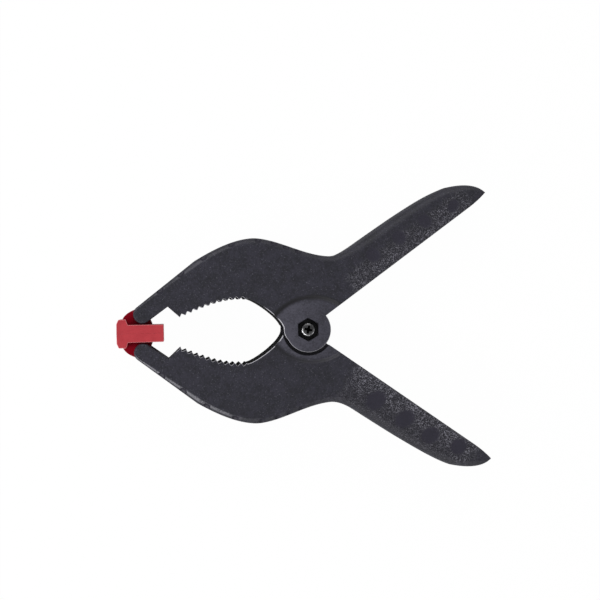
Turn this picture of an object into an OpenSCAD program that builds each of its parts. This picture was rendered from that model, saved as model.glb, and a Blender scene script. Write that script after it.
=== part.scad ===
// Spring clamp with two moulded arms, swivelling pads and a wound spring round the pivot.
// The clamp lies on its side. +X runs along it from the pads to the handles, +Y is the side of the upper
// arm, and +Z is up through its width. The two arms are one moulding: the lower arm is the upper arm turned
// half a turn about the clamp's long axis. All lengths are in millimetres.

/* [Clamp] */
// Width of the arms, from one flat side to the other
clamp_w = 32; // [29:0.5:44]
// Gap between the two arms where they face each other behind the throat
arm_gap = 0.5; // [0.4:0.1:1.5]
// Radius of the rounded edges along the back of a jaw
jaw_edge_r = 3.8; // [1:0.1:5]
// Radius of the rounded outer edges of a handle
handle_edge_r = 6; // [2:0.1:7]

/* [Jaws] */
// Distance along the clamp from the pivot to the bar that carries a pad
pin_reach = 97.6; // [92:0.2:112]
// Radius of the rounded end of an arm
tip_r = 5.3; // [4.8:0.1:6.4]
// Highest point of a jaw's back, above the middle of the clamp
crest_h = 54.8; // [48:0.1:62]
// Distance of that highest point from the pivot
crest_x = 32; // [28:0.5:38]
// Height of the waist, where the back runs into the handle
waist_h = 43.3; // [38:0.1:48]
// Distance of the waist past the pivot
waist_x = 13; // [9:0.5:16]
// Distance from the pad's bar to the brow, where the jaw's straight front meets its curved back
brow_run = 31.2; // [27:0.2:35]
// Height of the brow, above the middle of the clamp
brow_h = 41.95; // [37:0.05:45]
// Greatest half-height of the throat
throat_h = 19.2; // [16:0.1:24]
// Distance of the last tooth, at the widest place of the throat, from the pivot
throat_x = 36.8; // [33:0.1:42]
// Wall between the ears and the rear end of the throat
throat_rim = 1.1; // [0.6:0.05:3]
// Distance from the pad's bar to the first tooth, measured along the clamp
first_tooth = 21.6; // [19:0.1:25]
// Height of the first tooth above the middle of the clamp
first_tooth_h = 9.3; // [8:0.1:10.5]
// Distance between two teeth
tooth_pitch = 3.55; // [3:0.05:5]
// Depth of a tooth
tooth_depth = 1.8; // [1:0.05:2.1]
// Distance from the first tooth forward to the bottom of the notch behind the pads
notch_run = 6.7; // [5.5:0.1:7.5]
// Depth of that notch
notch_depth = 6.1; // [4:0.1:7]

/* [Handles] */
// Angle between a handle and the middle of the clamp, in degrees
handle_angle = 35.6; // [33:0.1:42]
// Length of a handle from the pivot to its tip
handle_l = 133.3; // [118:0.1:150]
// Depth of a handle, from its gripped edge to its outer edge
handle_d = 23.7; // [22:0.1:28]
// Distance of a handle's inner edge from a line through the pivot
handle_offset = 0.45; // [0.2:0.05:2]
// Thickness of the side walls of a handle's channel
side_wall = 5.2; // [4.5:0.1:6.5]
// Thickness of the channel's floor, which is the outer wall of the handle
floor_wall = 4; // [3.5:0.1:5]
// Thickness of the cross ribs in the channel
rib_t = 2.4; // [1.6:0.1:3.5]
// Distance between two cross ribs
rib_pitch = 20; // [16:0.5:26]

/* [Pivot] */
// Radius of the ears
ear_r = 13.4; // [13:0.05:15]
// Gap round an ear inside the other arm
ear_gap = 1.95; // [1:0.05:2.5]
// Thickness of an outer ear, which holds the hexagonal pocket
outer_ear_t = 4.8; // [4.4:0.1:5.5]
// Thickness of an inner ear
inner_ear_t = 3; // [2.5:0.1:3.5]
// Gap between two ears that lie on each other
ear_play = 0.25; // [0.2:0.05:0.5]
// Depth of the lowered field round the pivot, on each side of an arm
field_depth = 1.4; // [0.8:0.1:2]
// Radius of that field
field_r = 29.2; // [26:0.1:32]
// Distance of the field's centre from the pivot, towards the other arm
field_shift = 10.4; // [8:0.1:12]
// Outer radius of the steel barrel that both arms turn on
barrel_r = 4; // [3.5:0.05:4.5]
// Radial clearance between the barrel and the ears
barrel_play = 0.05; // [0.02:0.01:0.1]
// Width across the flats of the hexagonal pockets
hex_af = 12.2; // [11.6:0.1:13]
// Depth of the hexagonal pockets
hex_depth = 3.4; // [3.2:0.1:3.9]
// Thickness of the barrel's hexagonal head
nut_head_t = 3; // [2.4:0.1:3.1]
// Radius of the screw's shank
screw_r = 2; // [1.5:0.05:2.3]
// Length of the screw under its head
screw_l = 25; // [18:0.5:26]
// Radius of the screw's head
screw_head_r = 4.1; // [3.6:0.05:4.6]
// Height of the screw's head
screw_head_t = 2.2; // [1.8:0.05:2.3]
// Thickness of the washer under the head
washer_t = 0.8; // [0.5:0.05:1]

/* [Spring] */
// Diameter of the spring's wire
wire_d = 2.4; // [1.8:0.1:2.8]
// Radius of the coil, at the middle of the wire
coil_r = 9.4; // [9:0.1:10.5]
// Length of a straight leg, from the pivot's line to its end
leg_l = 62; // [50:1:70]
// Radius of the bosses that the coil sits round
spool_r = 6.9; // [6:0.1:7.3]

/* [Pads] */
// Distance by which a pad's sides lie inside the arms' sides
pad_inset = 0; // [0:0.1:3]
// Thickness of a pad's plate
pad_t = 5.1; // [4:0.1:6]
// Distance from the bar to the front of a pad
pad_front = 15.2; // [13:0.1:18]
// Distance from the bar to the back of a pad's plate
pad_rear = 12.3; // [10:0.1:13]
// Height of the toe at a pad's front
toe_h = 8.4; // [7.6:0.1:9.4]
// Length of the toe along the pad
toe_l = 6.6; // [5:0.1:7.5]
// Gap between a pad's plate and the end of its arm
pad_gap = 0.8; // [0.4:0.05:1.2]
// Radius of the bar between the two tines of an arm's fork
bar_r = 2.6; // [2.2:0.05:3]
// Radial clearance between the bar and the pad's socket
bar_play = 0.06; // [0.03:0.01:0.1]
// Wall of the socket round the bar
socket_wall = 2.1; // [1.6:0.1:2.4]
// Width of the tongue that carries the socket
tongue_w = 16; // [12:0.5:18]
// Gap on each side of the tongue in the fork
tongue_play = 0.35; // [0.3:0.05:0.6]

/* [Hidden] */
$fn = 64;
curve_steps = 7;             // straight steps that draw one curve of an outline
past = 1;                    // how far a cut runs past the face that it opens
turn_room = 0.3;             // room between parts that move past each other
half_w = clamp_w / 2;
pad_w = clamp_w - 2 * pad_inset;

// Heights of the pivot's layers above the middle of the clamp, from the side faces inwards
field_z = half_w - field_depth;
outer_ear_z = field_z - outer_ear_t;
inner_ear_top = outer_ear_z - ear_play;
inner_ear_z = inner_ear_top - inner_ear_t;
hex_floor_z = field_z - hex_depth;
pocket_r = ear_r + ear_gap;
bore_r = barrel_r + barrel_play;
seat_z = hex_floor_z + barrel_play;   // the washer bears on the barrel's end, just clear of the ear
hex_play = 0.15;                      // clearance on each side of a hexagonal head in its pocket

// The bar that carries a pad, in the plane of the upper arm
bar = [-pin_reach, pad_t + pad_gap + tip_r];
socket_r = bar_r + bar_play;
tongue_r = socket_r + socket_wall;
slot_r = norm([pad_rear / 2, bar[1] - pad_t]) + turn_room;

// Places that the upper arm's outline passes through
tooth_start = [-pin_reach + first_tooth, first_tooth_h];
throat_top = [-throat_x, throat_h];
throat_end = [-ear_r - throat_rim, arm_gap / 2];
notch = tooth_start + [-notch_run, notch_depth];
crest = [-crest_x, crest_h];
waist = [waist_x, waist_h];
brow = [brow_run - pin_reach, brow_h];

// A point of a handle, from its distance along the handle and above a line through the pivot
function along(h, w) = [h * cos(handle_angle) - w * sin(handle_angle),
                        h * sin(handle_angle) + w * cos(handle_angle)];

// The same, from shares of the handle's length and depth
function share(h, w) = along(h * handle_l, w * handle_d);
shoulder = share(0.452, 1);
inner_end = along(0.9 * handle_l, handle_offset);
tip_corner = share(1.005, 0.08);
tip_slope = share(0.872, 0.79);

// Points and edge radii [x, y, r] along a curve that leaves a towards b and reaches d from c, without d
function curve(a, b, c, d, r0, r1, steps = curve_steps) = [
    for (i = [0 : steps - 1])
        let (t = i / steps, s = 1 - t)
            concat(s * s * s * a + 3 * s * s * t * b + 3 * s * t * t * c + t * t * t * d, s * r0 + t * r1)];

function curve_point(a, b, c, d, t) =
    let (s = 1 - t) s * s * s * a + 3 * s * s * t * b + 3 * s * t * t * c + t * t * t * d;

// Angle of the line from a point past a circle that it touches on the given side (1 left, -1 right)
function touch_angle(from, centre, r, side) =
    let (d = centre - from) atan2(d[1], d[0]) + side * asin(r / norm(d));

// The serrated edge: tips and roots alternate across a curve from the first tooth to the widest place
tooth_out = [0.32 * (throat_top[0] - tooth_start[0]), 0.5 * (throat_h - first_tooth_h)];
tooth_in = [-0.35 * (throat_top[0] - tooth_start[0]), 0.06 * throat_h];
teeth = round(norm(throat_top - tooth_start) / tooth_pitch) + 1;
function tooth_line(t) =
    curve_point(tooth_start, tooth_start + tooth_out, throat_top + tooth_in, throat_top, t);
function tooth_normal(t) =
    let (d = tooth_line(min(t + 0.01, 1)) - tooth_line(max(t - 0.01, 0))) [-d[1], d[0]] / norm(d);
tooth_row = [
    for (i = [0 : 2 * teeth - 2])
        let (t = i / (2 * teeth - 2), side = i % 2 == 0 ? -0.35 : 0.65)
            concat(tooth_line(t) + side * tooth_depth * tooth_normal(t), 0)];

// Rounded end of the arm
end_steps = 10;
end_edge_r = 1.2;
back_angle = touch_angle(brow, bar, tip_r, -1) + 180;
notch_angle = touch_angle(notch, bar, tip_r, 1) + 180;
end_arc = [
    for (i = [0 : end_steps])
        let (a = back_angle + 90 + (notch_angle + 180 - back_angle) * i / end_steps)
            [bar[0] + tip_r * cos(a), bar[1] + tip_r * sin(a), end_edge_r]];

// Outline of the upper arm with the radius of its side edges at each point, counter-clockwise from the tip
grip_edge_r = 1.4;
tip_edge_r = 0.5;
arm_outline = concat(
    end_arc,
    [concat(notch, 0.3)],
    tooth_row,
    curve(throat_top, throat_top + [0.2 * (throat_x + throat_end[0]), 0],
          throat_end + [0, 0.35 * throat_h], throat_end, 0.6, 0.8, 9),
    [concat(throat_end, 0), [0, arm_gap / 2, 0]],
    [concat(along(pocket_r / 2, handle_offset), 0), concat(along(pocket_r + 3, handle_offset), 1)],
    curve(inner_end, along(0.945 * handle_l, handle_offset), share(0.98, 0.045), tip_corner,
          grip_edge_r, tip_edge_r, 4),
    curve(tip_corner, share(1.003, 0.2), share(0.995, 0.5), tip_slope, tip_edge_r, handle_edge_r),
    curve(tip_slope, share(0.79, 0.935), share(0.6, 0.975), shoulder, handle_edge_r, handle_edge_r),
    curve(shoulder, share(0.378, 1.014), waist + [7, 0], waist, handle_edge_r, jaw_edge_r),
    curve(waist, waist + [-15, 0.8], crest + [14, -0.1], crest, jaw_edge_r, jaw_edge_r, 9),
    curve(crest, crest + [-12, -0.5], brow + [10, 5.9], brow, jaw_edge_r, jaw_edge_r),
    [concat(brow, jaw_edge_r)]);

arm_x_max = max([for (p = arm_outline) p[0]]);
centre_x = (arm_x_max - pin_reach - pad_front) / 2;

// Moves the pivot so that the clamp's origin is at the middle of its base
module placed() {
    translate([-centre_x, 0, half_w]) children();
}

// Turns an upper part into its partner on the lower arm
module turned() {
    rotate([180, 0, 0]) children();
}

// Twice the area of the triangle of three of the points p, positive if they turn to the left
function turn(p, a, b, c) = cross(p[b] - p[a], p[c] - p[b]);

// Whether point k lies in the triangle a, b, c
function covers(p, a, b, c, k) = turn(p, a, b, k) >= 0 && turn(p, b, c, k) >= 0 && turn(p, c, a, k) >= 0;

// Triangles that fill a closed outline: each step cuts off the corner at ring[1], or moves on to the next
function filled(p, ring, done = []) =
    len(ring) < 3 ? done :
    let (a = ring[0], b = ring[1], c = ring[2], rest = [for (i = [2 : len(ring) - 1]) ring[i]],
         free = turn(p, a, b, c) > 0 && len([for (k = rest) if (k != c && covers(p, a, b, c, k)) k]) == 0)
    free ? filled(p, concat(rest, a), concat(done, [[a, b, c]])) : filled(p, concat(b, rest, a), done);

// A solid from an outline of [x, y, r] points, with its side edges rounded by r at each point
module rounded_plate(outline, width, depth) {
    n = len(outline);
    arc = [0, 30, 60, 90];
    inward = [
        for (i = [0 : n - 1])
            let (p = outline[i], a = outline[(i + n - 1) % n], b = outline[(i + 1) % n],
                 e = [p[0] - a[0], p[1] - a[1]], f = [b[0] - p[0], b[1] - p[1]],
                 u = e / norm(e) + f / norm(f))
                p[2] * [-u[1], u[0]] / norm(u)];
    // each ring: its height, and the share of the edge's radius by which it is drawn in
    rings = concat([for (k = [3 : -1 : 0]) [depth * (1 - sin(arc[k])) - width / 2, 1 - cos(arc[k])]],
                   [for (k = [0 : 3]) [width / 2 - depth * (1 - sin(arc[k])), 1 - cos(arc[k])]]);
    points = [
        for (ring = rings, i = [0 : n - 1])
            [outline[i][0] + ring[1] * inward[i][0], outline[i][1] + ring[1] * inward[i][1], ring[0]]];
    sides = [
        for (k = [0 : len(rings) - 2], i = [0 : n - 1], half = [0, 1])
            let (j = (i + 1) % n, a = k * n + i, b = k * n + j, c = a + n, d = b + n)
                half == 0 ? [a, c, b] : [b, c, d]];
    base = filled([for (i = [0 : n - 1]) [points[i][0], points[i][1]]], [for (i = [0 : n - 1]) i]);
    lid = (len(rings) - 1) * n;
    polyhedron(points, concat(base, [for (t = base) [lid + t[2], lid + t[1], lid + t[0]]], sides),
               convexity = 8);
}

// A slab of a given outline between two heights
module slab(z0, z1) {
    translate([0, 0, z0]) linear_extrude(z1 - z0) children();
}

module disc(r, z0, z1) {
    translate([0, 0, z0]) cylinder(r = r, h = z1 - z0);
}

// A round ear with a low lobe in front, which carries the rear end of the throat across the ear
lobe_r = 8;
lobe_reach = ear_r + min(throat_rim, ear_gap - turn_room);
module ear(z0, z1) {
    disc(ear_r, z0, z1);
    translate([lobe_r - lobe_reach, 0, 0]) disc(lobe_r, z0, z1);
}

// Channel of a handle, open on the gripped side, in the handle's own direction. Its floor follows the
// outer edge: each pair is a share of the handle's length and how far the floor lies below its full depth
channel_start = pocket_r + 4.5;
channel_end = 0.92 * handle_l;
floor_h = handle_d - floor_wall;
floor_line = [[0.25, 0.8], [0.4, 0], [0.55, 0.6], [0.7, 1.8], [0.8, 4], [0.88, 7.6], [0.92, 12.5]];
channel_outline = concat(
    [[channel_end, -handle_d], [channel_start, -handle_d], [channel_start, floor_h - 5]],
    [for (p = floor_line) [p[0] * handle_l, floor_h - p[1]]]);
channel_half = half_w - side_wall;

// Cross ribs. Those over the spring's leg stop higher up, so that the leg bears on them
leg_seat = coil_r + wire_d / 2 + turn_room;
rib_seat = handle_offset + 4;
leg_end = leg_l + 4;
rib_places = [for (h = [channel_start + 0.7 * rib_pitch : rib_pitch : channel_end - 5]) h];

module channel() {
    rotate(handle_angle) difference() {
        slab(-channel_half, channel_half) polygon(channel_outline);
        for (h = rib_places)
            translate([h - rib_t / 2, h < leg_end ? leg_seat : rib_seat, -half_w])
                cube([rib_t, handle_d, clamp_w]);
    }
    // way for the spring's leg from the coil into the channel
    way_half = inner_ear_z - turn_room / 2;
    way_start = pocket_r / 2;
    rotate(handle_angle) translate([way_start, -handle_d, -way_half])
        cube([channel_start - way_start + past, handle_d + leg_seat + turn_room, 2 * way_half]);
}

module hex_pocket(af, z0, z1) {
    translate([0, 0, z0]) rotate(90) cylinder(d = af / cos(30), h = z1 - z0, $fn = 6);
}

// One arm, in the place of the upper one, with the pivot at the origin
module arm() {
    difference() {
        union() {
            difference() {
                rounded_plate(arm_outline, clamp_w, handle_edge_r);
                // room for the spring and the other arm's ears
                disc(pocket_r, -inner_ear_z, outer_ear_z);
                disc(pocket_r, -half_w - past, -inner_ear_top);
                channel();
                // fork for the pad's tongue
                translate([bar[0], bar[1], 0])
                    disc(slot_r, -tongue_w / 2 - tongue_play, tongue_w / 2 + tongue_play);
            }
            ear(outer_ear_z, field_z);
            ear(-inner_ear_top, -inner_ear_z);
            disc(spool_r, -inner_ear_z, -ear_play / 2);
            // bar across the fork
            translate([bar[0], bar[1], 0])
                disc(bar_r, -tongue_w / 2 - tongue_play - past, tongue_w / 2 + tongue_play + past);
        }
        // lowered fields round the pivot
        for (z = [field_z, -half_w - past])
            translate([field_shift / 4, -field_shift, 0]) disc(field_r, z, z + field_depth + past);
        disc(bore_r, -half_w, half_w);
        hex_pocket(hex_af, hex_floor_z, half_w);
    }
}

// One pad, in the place of the upper one: plate, toe, and a tongue with an open socket round the bar
pad_x0 = bar[0] - pad_front;
pad_x1 = bar[0] + pad_rear;
toe_slant = 1.1;
tongue_x0 = pad_x0 + toe_l / 2;
tongue_hump = [tongue_x0 + 2.7, toe_h + 4];
tongue_top = 130;            // where the tongue's upper edge meets the socket
tongue_back = -27;           // where its rear edge leaves the socket
mouth_angle = 36;            // way of the mouth that the bar is pressed in through
mouth_w = 1.7 * socket_r;
function on_socket(angle) = bar + tongue_r * [cos(angle), sin(angle)];
module pad() {
    slab(-pad_w / 2, pad_w / 2)
        polygon([[pad_x0, 0], [pad_x1, 0], [pad_x1, pad_t],
                 [pad_x0 + toe_l, pad_t], [pad_x0 + toe_l - toe_slant, toe_h],
                 [pad_x0 + 1.5, toe_h], [pad_x0 + 0.4, toe_h - 1.3], [pad_x0, toe_h - 3.2]]);
    difference() {
        slab(-tongue_w / 2, tongue_w / 2) union() {
            polygon([[tongue_x0, pad_t - past], [tongue_x0, toe_h], tongue_hump,
                     on_socket(tongue_top), on_socket(tongue_back),
                     [bar[0] + pad_rear / 2, pad_t - past]]);
            translate(bar) circle(r = tongue_r);
        }
        translate([bar[0], bar[1], 0]) {
            disc(socket_r, -tongue_w / 2 - past, tongue_w / 2 + past);
            rotate(mouth_angle) translate([0, -mouth_w / 2, -tongue_w])
                cube([2 * tongue_r, mouth_w, 2 * tongue_w]);
        }
    }
}

// Wound spring: centre line of its wire, from the end of the lower leg round the coil to the upper leg
coil_room = 2 * (inner_ear_z - turn_room) - wire_d;
closing = 2 * (90 - handle_angle) / 360;    // the part of a turn between the two legs' tangent points
full_turns = floor(coil_room / (wire_d + 0.42) - closing);
turns = full_turns + closing;
coil_rise = turns * min(coil_room / turns, wire_d + 0.6);
curl_steps = 8;
coil_steps = round(turns * curl_steps);
function leg_point(s, side) =
    let (a = handle_angle) [s * cos(a) - coil_r * sin(a), side * (s * sin(a) + coil_r * cos(a)),
                            side * coil_rise / 2];
wire_line = concat(
    [leg_point(leg_l, 1), leg_point(leg_l - wire_d, 1), leg_point(coil_r / 2, 1)],
    [for (i = [0 : coil_steps])
        let (t = i / coil_steps, a = 90 + handle_angle + t * turns * 360)
            [coil_r * cos(a), coil_r * sin(a), coil_rise * (0.5 - t)]],
    [leg_point(coil_r / 2, -1), leg_point(leg_l - wire_d, -1), leg_point(leg_l, -1)]);

// A tube of six sides along a line of points; it lies nearly flat, so +Z serves for every ring
function ring(line, i, r) =
    let (a = line[max(i - 1, 0)], b = line[min(i + 1, len(line) - 1)], d = (b - a) / norm(b - a),
         side = cross(d, [0, 0, 1]) / norm(cross(d, [0, 0, 1])), up = cross(side, d))
        [for (k = [0 : 5]) line[i] + r * (cos(60 * k) * side + sin(60 * k) * up)];
wire_rings = [for (i = [0 : len(wire_line) - 1]) ring(wire_line, i, wire_d / 2)];

// Least gap between two turns: between points of the centre line that are at least five apart, less the wire
wire_last = len(wire_line) - 1;
wire_points = concat(wire_line, [for (i = [1 : wire_last]) (wire_line[i - 1] + wire_line[i]) / 2]);
wire_places = concat([for (i = [0 : wire_last]) i], [for (i = [1 : wire_last]) i - 0.5]);
wire_gap = min([
    for (i = [0 : len(wire_points) - 1], j = [0 : len(wire_points) - 1])
        if (wire_places[j] - wire_places[i] >= 5) norm(wire_points[i] - wire_points[j])]) - wire_d;
echo(str("spring: ", turns, " turns, least gap to itself ", wire_gap, " mm"));

module tube(rings) {
    n = len(rings[0]);
    last = (len(rings) - 1) * n;
    sides = [
        for (i = [0 : len(rings) - 2], k = [0 : n - 1], half = [0, 1])
            let (a = i * n + k, b = i * n + (k + 1) % n) half == 0 ? [a, b, a + n] : [b, b + n, a + n]];
    caps = [for (k = [1 : n - 2]) [[0, k + 1, k], [last, last + k, last + k + 1]]];
    polyhedron([for (r = rings, p = r) p], concat(sides, [for (c = caps, f = c) f]), convexity = 10);
}

module upper_arm() {
    color("#343238") placed() arm();
}

module lower_arm() {
    color("#343238") placed() turned() arm();
}

module upper_pad() {
    color("#b53c46") placed() pad();
}

module lower_pad() {
    color("#b53c46") placed() turned() pad();
}

// Pan head screw with a cross recess, screwed into the barrel from the upper side
thread_play = 0.03;          // clearance between the screw's shank and the barrel
screw_turn = -14;            // how far the screw stands turned
module pivot_screw() {
    recess_w = screw_head_r * 0.3;
    recess_l = screw_head_r * 1.15;
    dome_r = screw_head_r * 1.9;
    head_z = seat_z + washer_t;
    color("#3a3a3c") placed() difference() {
        union() {
            disc(screw_r, head_z - screw_l, head_z + past / 2);
            disc(screw_head_r, head_z, head_z + screw_head_t * 0.45);
            intersection() {
                disc(screw_head_r, head_z, head_z + screw_head_t);
                translate([0, 0, head_z + screw_head_t - dome_r]) sphere(r = dome_r);
            }
        }
        for (a = [0, 90])
            rotate(a + screw_turn) translate([-recess_l / 2, -recess_w / 2, head_z + screw_head_t * 0.35])
                cube([recess_l, recess_w, screw_head_t]);
    }
}

module pivot_washer() {
    color("#2c2c2e") placed() difference() {
        disc(hex_af / 2 - hex_play, seat_z, seat_z + washer_t);
        disc(screw_r + hex_play, seat_z - past, seat_z + washer_t + past);
    }
}

// Barrel that the arms turn on, with a hexagonal head in the lower arm's outer ear
module sleeve_nut() {
    color("#8a8a8c") placed() difference() {
        union() {
            disc(barrel_r, -hex_floor_z - past, seat_z);
            hex_pocket(hex_af - 2 * hex_play, -hex_floor_z - nut_head_t, -hex_floor_z);
        }
        disc(screw_r + thread_play, -half_w, half_w);
    }
}

module torsion_spring() {
    color("#26262a") placed() tube(wire_rings);
}

upper_arm();
lower_arm();
upper_pad();
lower_pad();
pivot_screw();
pivot_washer();
sleeve_nut();
torsion_spring();
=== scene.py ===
# %% [markdown]
# # Spring clamp: two moulded nylon arms on one steel pivot
#
# The clamp has eight pieces. Two arms come out of the same mould: one lies upright, the other is turned
# half a turn about the clamp's long axis. Each arm carries a red pad on a bar in its fork. A steel barrel
# with a screw in it is the hinge, and a wound spring round it pushes the pads together.
#
# A working model already says where each piece is and how it moves. This notebook opens that model and
# makes a detailed mesh for every piece in the same place.

# %% Open the working model
import math

import bmesh
import bpy
import numpy as np
from mathutils import Matrix, Vector


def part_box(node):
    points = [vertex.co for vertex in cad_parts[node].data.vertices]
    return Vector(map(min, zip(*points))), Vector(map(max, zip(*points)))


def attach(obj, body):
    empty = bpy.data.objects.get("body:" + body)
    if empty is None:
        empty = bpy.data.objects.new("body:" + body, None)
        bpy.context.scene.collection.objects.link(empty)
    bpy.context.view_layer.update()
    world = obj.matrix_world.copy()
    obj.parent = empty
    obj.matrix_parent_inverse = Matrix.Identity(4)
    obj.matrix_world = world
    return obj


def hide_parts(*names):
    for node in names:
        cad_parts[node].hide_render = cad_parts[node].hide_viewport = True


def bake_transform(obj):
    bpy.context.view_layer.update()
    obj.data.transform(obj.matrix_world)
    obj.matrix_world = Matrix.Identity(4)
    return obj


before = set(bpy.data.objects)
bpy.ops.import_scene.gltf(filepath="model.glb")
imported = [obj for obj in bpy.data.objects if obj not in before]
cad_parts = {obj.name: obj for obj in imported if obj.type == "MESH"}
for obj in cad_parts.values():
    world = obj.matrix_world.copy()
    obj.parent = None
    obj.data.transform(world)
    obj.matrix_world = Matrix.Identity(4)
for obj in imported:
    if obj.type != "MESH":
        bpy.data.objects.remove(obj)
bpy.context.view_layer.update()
print("nodes:", ", ".join(sorted(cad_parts)))

# %% [markdown]
# A moulded part is drawn in millimetres from its own reference point, which here is the middle of the
# pivot: x runs towards the handles, y towards the upper arm and z up through the width. The scene is in
# metres, so one matrix carries a finished mesh over, and a second one turns a piece into its partner.

# %% Millimetres about the pivot, and the way into the scene
MM = 0.001
barrel_low, barrel_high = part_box("sleeve_nut")
arm_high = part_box("upper_arm")[1]
PIVOT = Vector(((barrel_low.x + barrel_high.x) / 2, 0, arm_high.z / 2))
HALF_W = arm_high.z / 2 / MM
INTO_SCENE = Matrix.Translation(PIVOT) @ Matrix.Scale(MM, 4)
TURNED = Matrix.Rotation(math.pi, 4, "X")
print(f"pivot at {PIVOT.x:.5f} m, half width {HALF_W:.1f} mm")

# %% [markdown]
# Almost every shape on this clamp is a stack of rings: a plate with rounded edges is its outline drawn in
# a little more at each height, and a turned part is a circle at each height. So one function that joins
# rings into a closed skin makes most of the pieces.

# %% Rings into a closed skin


def new_piece(name, points, faces):
    mesh = bpy.data.meshes.new(name)
    mesh.from_pydata([tuple(p) for p in points], [], faces)
    piece = bpy.data.objects.new(name, mesh)
    bpy.context.scene.collection.objects.link(piece)
    return piece


JOIN_NEAR = 1e-5


def face_outwards(piece):
    shape = bmesh.new()
    shape.from_mesh(piece.data)
    bmesh.ops.remove_doubles(shape, verts=shape.verts, dist=JOIN_NEAR)
    bmesh.ops.recalc_face_normals(shape, faces=shape.faces)
    wide = [face for face in shape.faces if len(face.verts) > 4]
    bmesh.ops.triangulate(shape, faces=wide, ngon_method="EAR_CLIP")
    shape.to_mesh(piece.data)
    shape.free()
    return piece


def skin(name, rings, loop=False):
    count = len(rings[0])
    faces = []
    for k in range(len(rings) if loop else len(rings) - 1):
        a, b = k * count, (k + 1) % len(rings) * count
        for i in range(count):
            j = (i + 1) % count
            faces.append((a + i, a + j, b + j, b + i))
    if not loop:
        faces.append(tuple(reversed(range(count))))
        faces.append(tuple(range((len(rings) - 1) * count, len(rings) * count)))
    return face_outwards(new_piece(name, [p for ring in rings for p in ring], faces))


print("points of a skin are joined when nearer than", JOIN_NEAR, "mm")

# %% [markdown]
# On a lathe a part is given by its profile, a list of radii and heights. Blender's Screw modifier turns a
# profile too, but the rings are already at hand here. A disc with rounded edges is the plainest profile.

# %% Turned parts


def arc(x, y, r, start, end, steps):
    turns = [math.radians(start + (end - start) * i / steps) for i in range(steps + 1)]
    return [(x + r * math.cos(t), y + r * math.sin(t)) for t in turns]


def turned_part(name, profile, sides=96, centre=(0, 0), phase=0, loop=False):
    circle = [math.radians(phase + 360 * i / sides) for i in range(sides)]
    rings = [
        [(centre[0] + r * math.cos(t), centre[1] + r * math.sin(t), z) for t in circle]
        for r, z in profile
    ]
    return skin(name, rings, loop)


def disc(name, r, low, high, edge=0.0, centre=(0, 0)):
    if edge:
        profile = arc(r - edge, low + edge, edge, -90, 0, 4) + arc(r - edge, high - edge, edge, 0, 90, 4)
    else:
        profile = [(r, low), (r, high)]
    return turned_part(name, profile, centre=centre)


print("points in a quarter arc of four steps:", len(arc(0, 0, 1, 0, 90, 4)))

# %% [markdown]
# An outline is a closed list of points, each with the radius of the edge there. The back of the jaw and
# the handle are softly rounded, and the teeth are nearly sharp, so the radius has to change along the
# outline. Blender's Bevel modifier gives one width to a whole piece, so the rings are worked out here:
# at each height, every point moves inwards along the outline's own normal.

# %% Plates with a different edge radius at each point


def unit_rows(ways):
    return ways / np.linalg.norm(ways, axis=1)[:, None]


def inward_normals(points):
    xy = np.array([p[:2] for p in points])
    before = xy - np.roll(xy, 1, 0)
    after = np.roll(xy, -1, 0) - xy
    ways = unit_rows(unit_rows(before) + unit_rows(after))
    return np.column_stack([-ways[:, 1], ways[:, 0]])


def plate(name, points, low, high, steps=6):
    xy = np.array([p[:2] for p in points])
    r = np.array([p[2] for p in points])
    inward = inward_normals(points)
    turns = [math.radians(90 * i / steps) for i in range(steps + 1)]
    rings = []
    for t in reversed(turns):
        at = xy + inward * (r * (1 - math.cos(t)))[:, None]
        rings.append(np.column_stack([at, low + r * (1 - math.sin(t))]))
    for t in turns:
        at = xy + inward * (r * (1 - math.cos(t)))[:, None]
        rings.append(np.column_stack([at, high - r * (1 - math.sin(t))]))
    return skin(name, rings)


def with_edge(points, r):
    return [(p[0], p[1], r) for p in points]


square = with_edge([(0, 0), (1, 0), (1, 1), (0, 1)], 0.1)
print("at a square's first corner, inwards is", inward_normals(square)[0].round(3))

# %% [markdown]
# Pockets, bores and channels are cut the way a mould is cut: one tool at a time. Blender's Boolean
# modifier does this, and its Manifold solver is quick and leaves a closed mesh, as long as both shapes
# are closed. The result replaces the mesh at once, so that the next cut starts from it. After many cuts
# two corners can lie in one place, so a last pass welds such corners and counts the open edges.

# %% Cutting and joining solids


def weld_corners(piece, near=1e-4):
    """Where a cut ends exactly on a wall, two corners share one place and fold a face flat."""
    shape = bmesh.new()
    shape.from_mesh(piece.data)
    before = len(shape.faces)
    bmesh.ops.remove_doubles(shape, verts=shape.verts, dist=near)
    shape.to_mesh(piece.data)
    welded = before - len(shape.faces)
    open_edges = sum(not edge.is_manifold for edge in shape.edges)
    shape.free()
    return welded, open_edges


def merge(piece, tool, operation):
    step = piece.modifiers.new("step", "BOOLEAN")
    step.object = tool
    step.operation = operation
    step.solver = "MANIFOLD"
    graph = bpy.context.evaluated_depsgraph_get()
    result = bpy.data.meshes.new_from_object(piece.evaluated_get(graph))
    piece.modifiers.clear()
    old = [piece.data, tool.data]
    piece.data = result
    bpy.data.objects.remove(tool)
    for mesh in old:
        bpy.data.meshes.remove(mesh)
    return piece


def cut(piece, *tools):
    for tool in tools:
        merge(piece, tool, "DIFFERENCE")
    return piece


def weld(piece, *parts):
    for part in parts:
        merge(piece, part, "UNION")
    return piece


trial = cut(disc("trial", 2, 0, 1), disc("tool", 1, -1, 2))
print("a disc with a hole in it, faces welded and open edges:", weld_corners(trial))
trial_mesh = trial.data
bpy.data.objects.remove(trial)
bpy.data.meshes.remove(trial_mesh)

# %% [markdown]
# ## The arm's outline
#
# The jaw rises from a small rounded end to a high back, dips to a waist and runs on into the handle. Each
# stretch is one cubic curve between two points with a handle point at each, just as with Blender's own
# curves. Working the points out in code keeps the edge radius beside each of them.

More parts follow.
